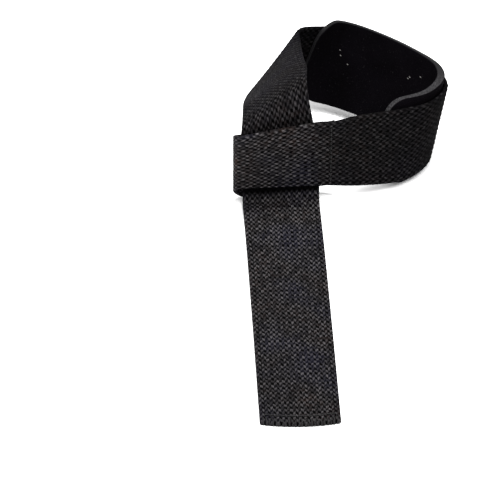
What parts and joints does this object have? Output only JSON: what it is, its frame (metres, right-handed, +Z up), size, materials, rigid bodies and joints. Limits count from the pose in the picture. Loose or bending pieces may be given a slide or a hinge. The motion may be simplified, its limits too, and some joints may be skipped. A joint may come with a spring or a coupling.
{
  "type": "weightlifting strap",
  "caption": "Padded wrist strap for lifting: heavy cotton webbing folded into a sewn keeper, laid in a ring with a soft pad inside and a long flat tail.",
  "frame": {"origin": "on the floor under the middle of the flat tail, 20 mm in front of the keeper", "axes": "+X to the right along the front of the ring, +Y from the tail's cut end towards the ring's far wall, +Z up"},
  "size_m": [0.1072, 0.2747, 0.0632],
  "materials": {
    "cotton_webbing": "matte heavy plain-woven cotton webbing, black",
    "neoprene_pad": "matte knit-faced foam sheet, black with a grey cut edge"
  },
  "bodies": {
    "root": {"strap_webbing": "cotton_webbing", "wrist_pad": "neoprene_pad"}
  },
  "joints": []
}
